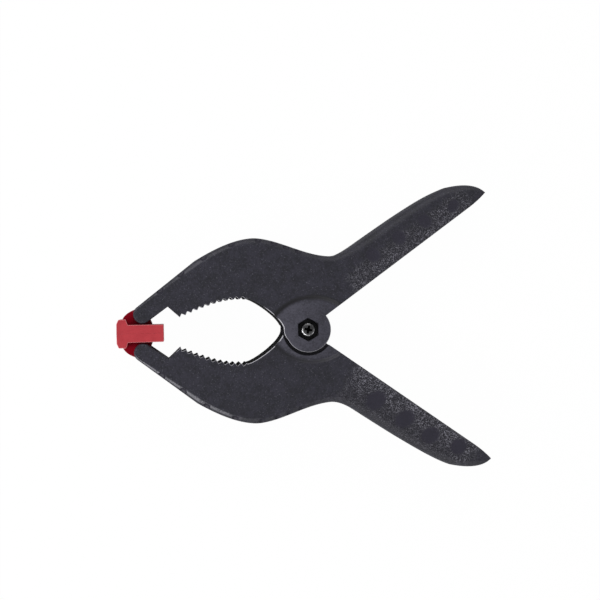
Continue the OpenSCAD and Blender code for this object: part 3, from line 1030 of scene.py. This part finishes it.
def sweep(name, line, r, sides):
    rings = []
    for i, p in enumerate(line):
        way = (line[min(i + 1, len(line) - 1)] - line[max(i - 1, 0)]).normalized()
        side = way.cross(Vector((0, 0, 1))).normalized()
        up = side.cross(way)
        end = i in (0, len(line) - 1)
        here = r - WIRE_EDGE if end else r
        rings.append([p + here * (math.cos(2 * math.pi * k / sides) * side
                                  + math.sin(2 * math.pi * k / sides) * up) for k in range(sides)])
    return skin(name, rings)


spring = shade(sweep("spring", wire_line(), WIRE_R, WIRE_SIDES))
place_piece(spring, "torsion_spring", "spring_steel", [])
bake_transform(spring)
print("faces of the spring:", len(spring.data.polygons))

# %% [markdown]
# ## Materials
#
# Every finish is made of nodes that read the piece's own coordinates, so it stays put when the clamp
# moves. A node tree drawn by hand is quick to try out, but long. Here each helper adds one node, links
# what comes in and hands back what goes out, so that a finish reads like a sum.

# %% Helpers for node trees


def srgb(r, g, b):
    """A colour as a screen shows it, 0 to 255, as the linear values that Blender works in."""
    def linear(v):
        v /= 255
        return v / 12.92 if v <= 0.04045 else ((v + 0.055) / 1.055) ** 2.4
    return (linear(r), linear(g), linear(b), 1)


def add(tree, kind, inputs=None, out=0, **settings):
    made = tree.nodes.new("ShaderNode" + kind)
    for key, value in settings.items():
        setattr(made, key, value)
    for key, value in (inputs or {}).items():
        if isinstance(value, bpy.types.NodeSocket):
            tree.links.new(value, made.inputs[key])
        else:
            made.inputs[key].default_value = value
    return made.outputs[out]


def sum_of(tree, operation, a, b=0.0, c=0.0):
    return add(tree, "Math", {0: a, 1: b, 2: c}, operation=operation)


def minus(tree, a, b):
    return sum_of(tree, "SUBTRACT", a, b)


def size_of(tree, a):
    return sum_of(tree, "ABSOLUTE", a)


def larger(tree, a, b):
    return sum_of(tree, "MAXIMUM", a, b)


def product(tree, first, *others):
    for other in others:
        first = sum_of(tree, "MULTIPLY", first, other)
    return first


def scaled(tree, a, times, plus):
    return sum_of(tree, "MULTIPLY_ADD", a, times, plus)


def distance(tree, x, y, centre=(0, 0)):
    dx = minus(tree, x, centre[0])
    dy = minus(tree, y, centre[1])
    return sum_of(tree, "SQRT", scaled(tree, dx, dx, product(tree, dy, dy)))


print("a screen's middle grey, as a linear value:", round(srgb(128, 128, 128)[0], 3))

# %% [markdown]
# The same goes for patterns. A ramp turns one range of values into another with soft ends, which makes
# most of the borders on this clamp. Noise makes what is uneven, and a mix lays one colour over another.

# %% Patterns, coordinates and the shader


def ramp(tree, value, low, high, to_low=0.0, to_high=1.0):
    inputs = {"Value": value, "From Min": low, "From Max": high, "To Min": to_low, "To Max": to_high}
    return add(tree, "MapRange", inputs, interpolation_type="SMOOTHSTEP")


def noise(tree, place, scale, detail=2.0, rough=0.5):
    return add(tree, "TexNoise", {"Vector": place, "Scale": scale, "Detail": detail, "Roughness": rough})


def mix(tree, share_of_b, a, b):
    return add(tree, "Mix", {0: share_of_b, 6: a, 7: b}, out=2, data_type="RGBA")


def axes(tree, vector):
    return [add(tree, "SeparateXYZ", {0: vector}, out=i) for i in range(3)]


def millimetres(tree):
    """The piece's own coordinates, in millimetres from the pivot."""
    own = add(tree, "TexCoord", out=3)
    centred = add(tree, "VectorMath", {0: own, 1: tuple(PIVOT)}, operation="SUBTRACT")
    return add(tree, "VectorMath", {0: centred, "Scale": 1 / MM}, operation="SCALE")


def facing(tree):
    return add(tree, "TexCoord", out=1)


def material(name, **shader_values):
    made = bpy.data.materials.new(name)
    made.use_nodes = True
    shader = made.node_tree.nodes["Principled BSDF"]
    for key, value in shader_values.items():
        shader.inputs[key.replace("_", " ")].default_value = value
    return made, made.node_tree, shader


def connect(tree, shader, colour, roughness, height):
    """Links a finish to the shader. The height is in millimetres."""
    tree.links.new(colour, shader.inputs["Base Color"])
    tree.links.new(roughness, shader.inputs["Roughness"])
    bump = add(tree, "Bump", {"Strength": 1.0, "Distance": MM, "Height": height})
    tree.links.new(bump, shader.inputs["Normal"])


def dress(piece, made):
    piece.data.materials.clear()
    piece.data.materials.append(made)


print("a bump's distance for one millimetre, in the scene's metres:", MM)

# %% [markdown]
# The arms are nylon filled with glass fibre: a dark, slightly bluish charcoal that is neither dull nor
# glossy. The mould leaves a fine grain, and the fibres leave clouds and a few pale flecks. Every layer of
# this finish asks where a point is and which way it faces, so one class works that out for all of them.

# %% Charcoal nylon as it leaves the mould
CHARCOAL = srgb(20, 20, 27)
CHARCOAL_LIGHT = srgb(38, 37, 47)
SPECK = srgb(172, 170, 183)
GRAIN_H = 0.03


class ArmSurface:
    """Where a point of an arm is, which way it faces, and how dense the fibre is there."""

    def __init__(self, tree):
        self.place = millimetres(tree)
        self.x, self.side, upward = axes(tree, self.place)
        self.y = size_of(tree, self.side)
        self.z = size_of(tree, upward)
        self.facing_x = axes(tree, facing(tree))[0]
        self.tilt = size_of(tree, axes(tree, facing(tree))[2])
        self.wall = ramp(tree, self.tilt, 0.45, 0.1)
        self.bevel = ramp(tree, self.tilt, 0.97, 0.85)
        # below 0 on one flank of the moulding, and above 0 on the other
        self.flank = product(tree, self.side, upward)
        a = math.radians(HANDLE_ANGLE)
        self.down_handle = scaled(tree, self.x, math.cos(a), product(tree, self.y, math.sin(a)))
        self.out_of_handle = scaled(tree, self.x, -math.sin(a), product(tree, self.y, math.cos(a)))
        self.from_field = distance(tree, self.x, self.y, FIELD_CENTRE)
        throat_x = (ramp(tree, self.x, -12, -13), ramp(tree, self.x, -79, -77.5))
        self.throat = product(tree, ramp(tree, self.y, 22, 21), *throat_x)
        self.fibre = noise(tree, self.place, 0.9, 3, 0.7)
        cloud = noise(tree, self.place, 0.16, 4, 0.6)
        self.mottle = scaled(tree, cloud, 0.45, product(tree, self.fibre, 0.55))


def bare_moulding(tree, at):
    colour = mix(tree, ramp(tree, at.mottle, 0.38, 0.62), CHARCOAL, CHARCOAL_LIGHT)
    fleck = ramp(tree, noise(tree, at.place, 1.6, 2, 0.6), 0.6, 0.78, 0, 0.22)
    return mix(tree, fleck, colour, SPECK)


def moulded_roughness(tree, at):
    return scaled(tree, at.wall, 0.32, ramp(tree, at.mottle, 0.3, 0.7, 0.48, 0.6))


def moulded_grain(tree, at):
    return product(tree, noise(tree, at.place, 5.0, 2, 0.7), GRAIN_H)


print("height of the mould's grain, mm:", GRAIN_H)

# %% [markdown]
# The lowered field round the pivot is polished by the other arm, and the polish is painted lighter
# towards the jaw, as painted light from the left. Painted shade darkens the slope at the field's rim,
# more on the upper arm's side, and the throat's walls are painted near black as shade.

# %% Polish and painted shade round the pivot and in the throat
POLISHED = srgb(68, 67, 77)
FIELD_RIM_SHADE = srgb(11, 10, 14)
# near black, painted shade on the throat's walls
THROAT_WALL_SHADE = srgb(4, 4, 5)


def field_polish_and_shade(tree, at, colour):
    outside = ramp(tree, at.z, FIELD_Z - 1.2, FIELD_Z - 0.4)
    # painted light: the polish grows towards -x, the side of the left lamp
    uneven = product(tree, ramp(tree, at.mottle, 0.4, 0.58, 0.5, 1), ramp(tree, at.x, 12, -12, 0.5, 1))
    inside = ramp(tree, at.from_field, FIELD_R, FIELD_R - 2.5)
    colour = mix(tree, product(tree, outside, uneven, inside), colour, POLISHED)
    # painted shade in the slope at the field's rim, stronger on the upper arm
    rim = size_of(tree, minus(tree, at.from_field, FIELD_R + 0.6))
    rim_shade = product(tree, outside, ramp(tree, rim, 2.1, 0.3), ramp(tree, at.side, -2, 2, 0.3, 0.85))
    return mix(tree, rim_shade, colour, FIELD_RIM_SHADE)


print("field's radius, and the height of its step, mm:", FIELD_R, round(HALF_W - FIELD_Z, 2))

# %% [markdown]
# Pale lines on the broken edges are painted highlights, where a lamp would glint on them. A mesh doesn't
# know its edges in a shader, but the broken edges of this moulding all face between the flank and the
# wall, so the way that a point faces finds them. The throat's edge and the ear's rim get the brightest
# ones. The rounded back of the jaws gets pale painted highlights in streaks, more on the lower arm.

# %% Painted highlights on edges and on the jaws' backs
# pale colours of the painted highlights
EDGE_HIGHLIGHT = srgb(190, 189, 195)
BACK_HIGHLIGHT = srgb(118, 117, 123)
EAR_HIGHLIGHT_SHARE = 0.55


def throat_arris(tree, at):
    lowered = ramp(tree, at.from_field, FIELD_R + 0.5, FIELD_R)
    flank_z = scaled(tree, lowered, FIELD_Z - HALF_W, HALF_W)
    near_flank = ramp(tree, minus(tree, flank_z, at.z), 0.7, 0.4)
    into_throat = larger(tree, ramp(tree, at.x, -33, -35), ramp(tree, at.facing_x, 0.2, 0))
    from_x = ramp(tree, at.side, -1, 1, -40, -27)
    curved = larger(tree, ramp(tree, minus(tree, at.x, from_x), 0, 4), ramp(tree, at.x, -35, -38))
    return product(tree, at.bevel, at.throat, near_flank, into_throat, curved)


def ear_arris(tree, at):
    reach = distance(tree, at.x, at.y)
    near_rim = ramp(tree, size_of(tree, minus(tree, reach, EAR_R)), 0.8, 0.6)
    return product(tree, at.bevel, near_rim, ramp(tree, at.z, FIELD_Z - 0.6, FIELD_Z - 0.4))


# painted highlight: a pale line along the throat's edge and the ear's rim
def painted_edge_highlights(tree, at, colour):
    highlight_share = larger(tree, throat_arris(tree, at), product(tree, ear_arris(tree, at), EAR_HIGHLIGHT_SHARE))
    patchy = ramp(tree, at.fibre, 0.25, 0.55, 0.45, 0.95)
    return mix(tree, product(tree, highlight_share, patchy), colour, EDGE_HIGHLIGHT)


# painted highlight: pale streaks on the jaw's rounded back, stronger on the lower arm
def streaks(tree, at, colour, strength):
    rounding = (ramp(tree, at.tilt, 0.66, 0.86), ramp(tree, at.tilt, 0.999, 0.98))
    towards_tip = ramp(tree, at.x, -34, -58, 0.12, 1)
    front_slope = product(tree, ramp(tree, at.y, 12, 15), ramp(tree, at.facing_x, 0, -0.15))
    on_back = larger(tree, ramp(tree, at.y, 20, 23), front_slope)
    patchy = ramp(tree, at.mottle, 0.42, 0.56, 0.35, 1)
    by_arm = ramp(tree, at.side, -2, 2, strength, 0.25)
    highlight_share = product(tree, *rounding, towards_tip, on_back, patchy, by_arm)
    return mix(tree, highlight_share, colour, BACK_HIGHLIGHT)


# the ear's rim gets this share of the throat's painted highlight
print("share of the throat's rubbing that the ear's rim has:", EAR_HIGHLIGHT_SHARE)

# %% [markdown]
# On the handles the net between the cells is coarse, and pale specks on its ridges are painted
# highlights, where the coarse net would catch the light. The net's ridges are the places where a noise
# crosses its middle value, which gives thin lines that wander and join. On one flank the net covers half
# of the handle's width, and on the other nearly all of it. In the cells it gives way to a plain smooth
# floor with a ragged edge.

# %% The raised net on the handles
CELL_DARK = srgb(31, 28, 41)
BARE_GAP = srgb(20, 19, 26)
NET_H = 0.3


def net_zone(tree, at):
    width = ramp(tree, at.flank, -1, 1, 24.0, 13.5)
    start = sum_of(tree, "ADD", at.down_handle, -4.0)
    ragged = scaled(tree, noise(tree, at.place, 0.3, 2), 8.0, start)
    border = sum_of(tree, "ADD", at.out_of_handle, -3.0)
    spread = scaled(tree, noise(tree, at.place, 0.25, 2), 6.0, border)
    ends = product(tree, ramp(tree, ragged, 34, 39), ramp(tree, ragged, 127, 120))
    inside = ramp(tree, minus(tree, width, spread), -0.5, 3.5)
    return product(tree, ends, inside, ramp(tree, at.tilt, 0.5, 0.8))


def cell_floor(tree, at, colour, zone):
    uneven = scaled(tree, noise(tree, at.place, 0.7, 3, 0.65), 0.6, at.z)
    deep = ramp(tree, uneven, HALF_W + 0.28, HALF_W)
    colour = mix(tree, product(tree, deep, 0.55), colour, CELL_DARK)
    return colour, product(tree, zone, minus(tree, 1.0, deep))


def net(tree, at, colour, zone):
    worm = noise(tree, at.place, 0.9, 1.5, 0.6)
    ridge = ramp(tree, size_of(tree, minus(tree, worm, 0.5)), 0.06, 0.015)
    patch = ramp(tree, noise(tree, at.place, 0.2, 2), 0.3, 0.6, 0.5, 1.0)
    inner = ramp(tree, at.out_of_handle, 19, 3, 0.4, 1.0)
    pale = ramp(tree, at.flank, -1, 1, 0.56, 0.42)
    colour = mix(tree, product(tree, zone, 0.62), colour, BARE_GAP)
    # painted highlight: pale specks along the ridges, brighter towards the handle's inner edge
    colour = mix(tree, product(tree, zone, ridge, patch, inner, pale), colour, SPECK)
    return colour, product(tree, ridge, zone, NET_H)


print("height of the net's ridges, mm:", NET_H)

# %% [markdown]
# The layers go on in this order: moulding, polish and painted shade round the pivot, painted shade on the
# throat's walls, painted highlights, and the net with its cells. The faces marked earlier get the same
# finish with the cells' floor in it, and a weaker painted highlight on the jaw's back.

# %% Nylon on both arms
NYLON_SPECULAR = 0.25
THROAT_WALL_GLOSS_LOSS = 0.24


def nylon(name, cell):
    made, tree, shader = material(name, Specular_IOR_Level=NYLON_SPECULAR)
    at = ArmSurface(tree)
    # painted shade: the throat's walls go near black, and their specular level drops
    shaded_throat_walls = product(tree, at.wall, at.throat)
    colour = field_polish_and_shade(tree, at, bare_moulding(tree, at))
    colour = mix(tree, shaded_throat_walls, colour, THROAT_WALL_SHADE)
    colour = painted_edge_highlights(tree, at, colour)
    # the cells and scoops get a weaker painted highlight on the jaw's back
    colour = streaks(tree, at, colour, 0.4 if cell else 0.9)
    zone = net_zone(tree, at)
    if cell:
        colour, zone = cell_floor(tree, at, colour, zone)
    colour, raised = net(tree, at, colour, zone)
    height = sum_of(tree, "ADD", moulded_grain(tree, at), raised)
    specular = scaled(tree, shaded_throat_walls, -THROAT_WALL_GLOSS_LOSS, NYLON_SPECULAR)
    tree.links.new(specular, shader.inputs["Specular IOR Level"])
    connect(tree, shader, colour, moulded_roughness(tree, at), height)
    return made


arm_nylon = nylon("charcoal_nylon", cell=False)
cell_nylon = nylon("charcoal_nylon_smooth_cell", cell=True)
for piece in (upper_arm, lower_arm):
    piece.data.materials[0] = arm_nylon
    piece.data.materials[1] = cell_nylon
print("nodes in the arms' two finishes:", len(arm_nylon.node_tree.nodes), len(cell_nylon.node_tree.nodes))

# %% [markdown]
# The pads are a red plastic, softer than the arms, with a satin skin. Faint flow marks run through it.
# The plate's edges along its two flanks carry a pale painted highlight. The tongue sits deep in the fork,
# in its shade: painted shade gives it a deeper red there, which darkens towards the plate.

# %% Red pad plastic
PAD_RED = srgb(160, 43, 52)
PAD_RED_LIGHT = srgb(170, 50, 58)
TONGUE_SHADED_RED = srgb(132, 6, 26)
TONGUE_SHADE = srgb(112, 4, 24)
PAD_EDGE_HIGHLIGHT = srgb(222, 138, 142)
PAD_SPECULAR = 0.3
TONGUE_LOSS = 0.26
PAD_GRAIN_H = 0.025


def pad_edge_highlight(tree, y, z, tilt):
    edge = product(tree, ramp(tree, tilt, 0.98, 0.93), ramp(tree, y, 0.3, 0.6))
    return product(tree, edge, ramp(tree, z, HALF_W - 2.2, HALF_W - 0.8))


def pad_plastic():
    made, tree, shader = material("red_pad_plastic", Specular_IOR_Level=PAD_SPECULAR)
    place = millimetres(tree)
    y, z = (size_of(tree, axis) for axis in axes(tree, place)[1:])
    tilt = size_of(tree, axes(tree, facing(tree))[2])
    flow = noise(tree, place, 1.0, 3, 0.6)
    tone = scaled(tree, noise(tree, place, 0.2, 3, 0.55), 0.7, product(tree, flow, 0.3))
    colour = mix(tree, ramp(tree, tone, 0.35, 0.65), PAD_RED, PAD_RED_LIGHT)
    # painted highlight: pale lines along the plate's edges
    edge_highlight = product(tree, pad_edge_highlight(tree, y, z, tilt), 0.7)
    colour = mix(tree, edge_highlight, colour, PAD_EDGE_HIGHLIGHT)
    # painted shade: the tongue deep in the fork gets a deeper red, darkest next to the plate
    between = ramp(tree, z, TONGUE_HALF + 0.3, TONGUE_HALF + 0.1)
    tongue = product(tree, between, ramp(tree, y, PAD_T, PAD_T + 0.3))
    tongue_shade_colour = mix(tree, ramp(tree, y, PAD_T + 2.8, PAD_T + 0.6), TONGUE_SHADED_RED, TONGUE_SHADE)
    colour = mix(tree, tongue, colour, tongue_shade_colour)
    specular = scaled(tree, tongue, -TONGUE_LOSS, PAD_SPECULAR)
    tree.links.new(specular, shader.inputs["Specular IOR Level"])
    rough = ramp(tree, flow, 0.3, 0.7, 0.4, 0.52)
    connect(tree, shader, colour, rough, product(tree, noise(tree, place, 4.0, 2, 0.6), PAD_GRAIN_H))
    return made


red_plastic = pad_plastic()
for piece in (upper_pad, lower_pad):
    dress(piece, red_plastic)
print("nodes in the pads' finish:", len(red_plastic.node_tree.nodes))

# %% [markdown]
# The steel parts are dark: the screw is blackened, the washer is near black, the barrel is bright plated
# and the spring is drawn wire with an oil-black skin. Turned parts have fine rings round their axis, and
# the wire has rubbed places. A pale painted highlight lies on the rim of the screw's head, on the side
# that faces the lower arm, and painted shade blackens the cross.

# %% Steels
RIM_GLINT = srgb(196, 196, 198)
CROSS_SHADE = srgb(3, 3, 3)


def screw_glint_and_shade(tree, place, colour):
    x, y, z = axes(tree, place)
    away = distance(tree, x, y)
    around = add(tree, "CombineXYZ", {0: x, 1: y})
    patches = ramp(tree, noise(tree, around, 0.55, 2, 0.6), 0.42, 0.6)
    low_side = ramp(tree, y, 1.4, -1.6, 0.1, 1.0)
    # painted highlight: a pale glint on the head's rim, on the lower arm's side
    rim = product(tree, ramp(tree, away, 2.9, 3.7), low_side, ramp(tree, patches, 0, 1, 0.35, 1.0))
    colour = mix(tree, rim, colour, RIM_GLINT)
    # painted shade: the cross goes black below the head's top
    head_top = HEAD_Z + HEAD_T
    sunk = ramp(tree, z, head_top - 0.2, head_top - 0.4)
    return mix(tree, product(tree, ramp(tree, away, 2.75, 2.45), sunk), colour, CROSS_SHADE)


def tool_marks(tree, place, turned):
    if not turned:
        return noise(tree, place, 2.5, 3, 0.6)
    x, y, z = axes(tree, place)
    rings = add(tree, "CombineXYZ", {0: distance(tree, x, y), 1: z})
    return noise(tree, rings, 6.0, 2, 0.6)


def steel(name, dark, light, roughness, turned, head_glint_and_shade=False):
    made, tree, shader = material(name, Metallic=1.0)
    place = millimetres(tree)
    marks = tool_marks(tree, place, turned)
    wear = noise(tree, place, 0.7, 4, 0.65)
    colour = mix(tree, ramp(tree, wear, 0.4, 0.68), dark, light)
    if head_glint_and_shade:
        colour = screw_glint_and_shade(tree, place, colour)
    rough = scaled(tree, marks, 0.16, roughness - 0.08)
    connect(tree, shader, colour, rough, product(tree, marks, 0.02))
    return made


dress(screw, steel("blackened_screw_steel", srgb(52, 52, 53), srgb(76, 76, 77), 0.28, True, True))
# the washer's near-black colour also serves as painted shade at the bottom of the hex pocket
dress(washer, steel("near_black_washer_steel", srgb(16, 16, 17), srgb(24, 24, 25), 0.5, True))
dress(nut, steel("plated_barrel_steel", srgb(140, 140, 138), srgb(168, 168, 164), 0.3, True))
dress(spring, steel("oil_black_spring_steel", srgb(40, 40, 43), srgb(66, 66, 68), 0.38, False))
print("materials:", len(bpy.data.materials))

# %% [markdown]
# ## Floor, light and camera
#
# The clamp lies flat on a white floor and is seen from almost straight above. A floor that is only lit
# comes out grey where the lamps are far away. Here it shines for the camera and for reflections, and
# stays a plain diffuse floor for everything else. A small share of the diffuse floor is kept in what the
# camera sees, and that carries the clamp's faint soft shadow.

# %% White floor that keeps a soft shadow
FLOOR_HALF = 3.0
FLOOR_WHITE = (0.92, 0.92, 0.92, 1)
PLAIN_WHITE = (1, 1, 1, 1)
FLOOR_GLOW = 0.985


def seen_directly(tree):
    path = tree.nodes.new("ShaderNodeLightPath")
    first = larger(tree, path.outputs["Is Camera Ray"], path.outputs["Is Glossy Ray"])
    return larger(tree, first, path.outputs["Is Transmission Ray"])


def floor_paint():
    made = bpy.data.materials.new("floor_paint")
    made.use_nodes = True
    tree = made.node_tree
    tree.nodes.clear()
    diffuse = add(tree, "BsdfDiffuse", {"Color": FLOOR_WHITE})
    glow = add(tree, "Emission", {"Color": PLAIN_WHITE, "Strength": 1.0})
    amount = product(tree, seen_directly(tree), FLOOR_GLOW)
    surface = add(tree, "MixShader", {0: amount, 1: diffuse, 2: glow})
    output = tree.nodes.new("ShaderNodeOutputMaterial")
    tree.links.new(surface, output.inputs["Surface"])
    return made


floor_corners = [
    (-FLOOR_HALF, -FLOOR_HALF, 0), (FLOOR_HALF, -FLOOR_HALF, 0),
    (FLOOR_HALF, FLOOR_HALF, 0), (-FLOOR_HALF, FLOOR_HALF, 0),
]
floor = new_piece("floor", floor_corners, [(0, 1, 2, 3)])
floor.data.materials.append(floor_paint())
print("floor, metres across:", 2 * FLOOR_HALF)

# %% [markdown]
# The sky lights the clamp evenly from all round at about half strength. The camera and the reflections
# see it as plain white, by the same Light Path trick as on the floor.

# %% Sky
SKY_LEVEL = 0.48
world = bpy.data.worlds.new("sky")
bpy.context.scene.world = world
world.use_nodes = True
sky_tree = world.node_tree
strength = scaled(sky_tree, seen_directly(sky_tree), 1 - SKY_LEVEL, SKY_LEVEL)
sky_tree.links.new(strength, sky_tree.nodes["Background"].inputs["Strength"])
sky_tree.nodes["Background"].inputs["Color"].default_value = PLAIN_WHITE
print("the sky's strength on the clamp:", SKY_LEVEL)

# %% [markdown]
# Three large soft lamps stand low round the clamp: at the left, in front and behind. Rounded edges catch
# a bright line from them, while the flat faces stay dark. A lamp overhead would grey the flat faces.

# %% Three soft lamps
LAMP_AWAY = 1.1


def lamp(name, azimuth, elevation, size, power):
    light = bpy.data.lights.new(name, "AREA")
    light.shape = "RECTANGLE"
    light.size, light.size_y = size
    light.energy = power
    made = bpy.data.objects.new(name, light)
    a, e = math.radians(azimuth), math.radians(elevation)
    way = Vector((math.cos(a) * math.cos(e), math.sin(a) * math.cos(e), math.sin(e)))
    made.location = PIVOT + way * LAMP_AWAY
    made.rotation_euler = way.to_track_quat("Z", "Y").to_euler()
    bpy.context.scene.collection.objects.link(made)
    return made


lamps = [
    lamp("left_lamp", 195, 30, (0.6, 0.28), 5.0),
    lamp("front_lamp", 245, 32, (0.6, 0.22), 3.6),
    lamp("back_lamp", 95, 36, (0.9, 0.26), 4.6),
]
print("lamps and their watts:", [(made.name, round(made.data.energy, 1)) for made in lamps])

# %% [markdown]
# The camera stands a little to the left and above the clamp's middle, which shows a strip of the throat's
# far wall and of the lower teeth. A lens of 85 mm at 0.84 m keeps the view nearly flat.

# %% Camera
LENS = 85
SENSOR = 36
VIEW_W = 0.3543
AIM = PIVOT + Vector((-4.78, 17.63, HALF_W)) * MM
LEAN_LEFT = 5.15
LEAN_UP = -0.15
ROLL = 1.25

back = Vector((-math.tan(math.radians(LEAN_LEFT)), math.tan(math.radians(LEAN_UP)), 1)).normalized()
level = Vector((math.cos(math.radians(ROLL)), -math.sin(math.radians(ROLL)), 0))
right = (level - back * level.dot(back)).normalized()
up = back.cross(right)
camera_turn = Matrix((right, up, back)).transposed().to_4x4()
camera_away = VIEW_W * LENS / SENSOR
camera = bpy.data.objects.new("camera", bpy.data.cameras.new("camera"))
camera.data.lens = LENS
camera.data.sensor_width = SENSOR
camera.data.clip_start = 0.01
camera.matrix_world = Matrix.Translation(AIM + back * camera_away) @ camera_turn
bpy.context.scene.collection.objects.link(camera)
bpy.context.scene.camera = camera
bpy.context.scene.view_settings.view_transform = "Standard"
print(f"camera {camera_away:.3f} m from the clamp")
